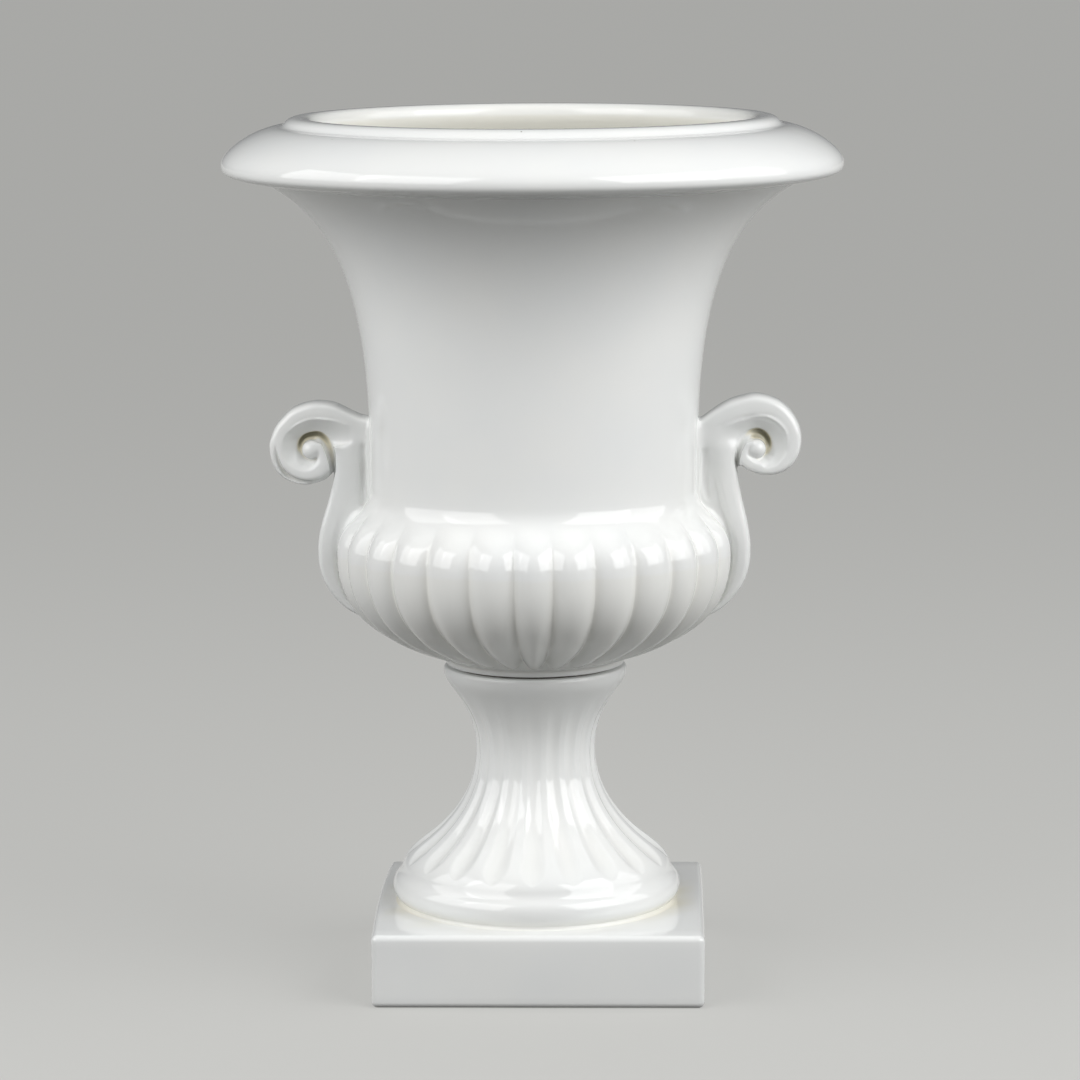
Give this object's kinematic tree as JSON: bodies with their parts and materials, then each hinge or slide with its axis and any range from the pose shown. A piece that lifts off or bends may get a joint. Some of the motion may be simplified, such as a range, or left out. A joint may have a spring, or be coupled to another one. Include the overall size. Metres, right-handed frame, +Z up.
{
  "type": "cachepot urn",
  "caption": "Glazed white campana urn on a fluted foot and square plinth, with gadrooned belly and scroll handles, to hold a potted plant.",
  "frame": {"origin": "centre of the bounding box, on the plane that the plinth stands on, under the urn's axis", "axes": "+Z up through the mouth, front towards -Y, the two scroll handles along X"},
  "size_m": [0.2706, 0.2706, 0.38],
  "materials": {
    "white_glaze": "clear high-gloss glaze over white earthenware",
    "cork": "ground cork sheet, matt",
    "zinc_steel": "bright zinc plate",
    "black_rubber": "smooth moulded rubber"
  },
  "bodies": {
    "root": {"plinth": "white_glaze", "foot": "white_glaze", "joint_gasket": "cork", "vessel": "white_glaze", "rim_ring": "white_glaze", "handle_left": "white_glaze", "handle_right": "white_glaze", "tie_bolt": "zinc_steel", "bolt_seal_upper": "black_rubber", "bolt_washer_upper": "zinc_steel", "bolt_seal_lower": "black_rubber", "bolt_washer_lower": "zinc_steel", "tie_nut": "zinc_steel"}
  },
  "joints": []
}
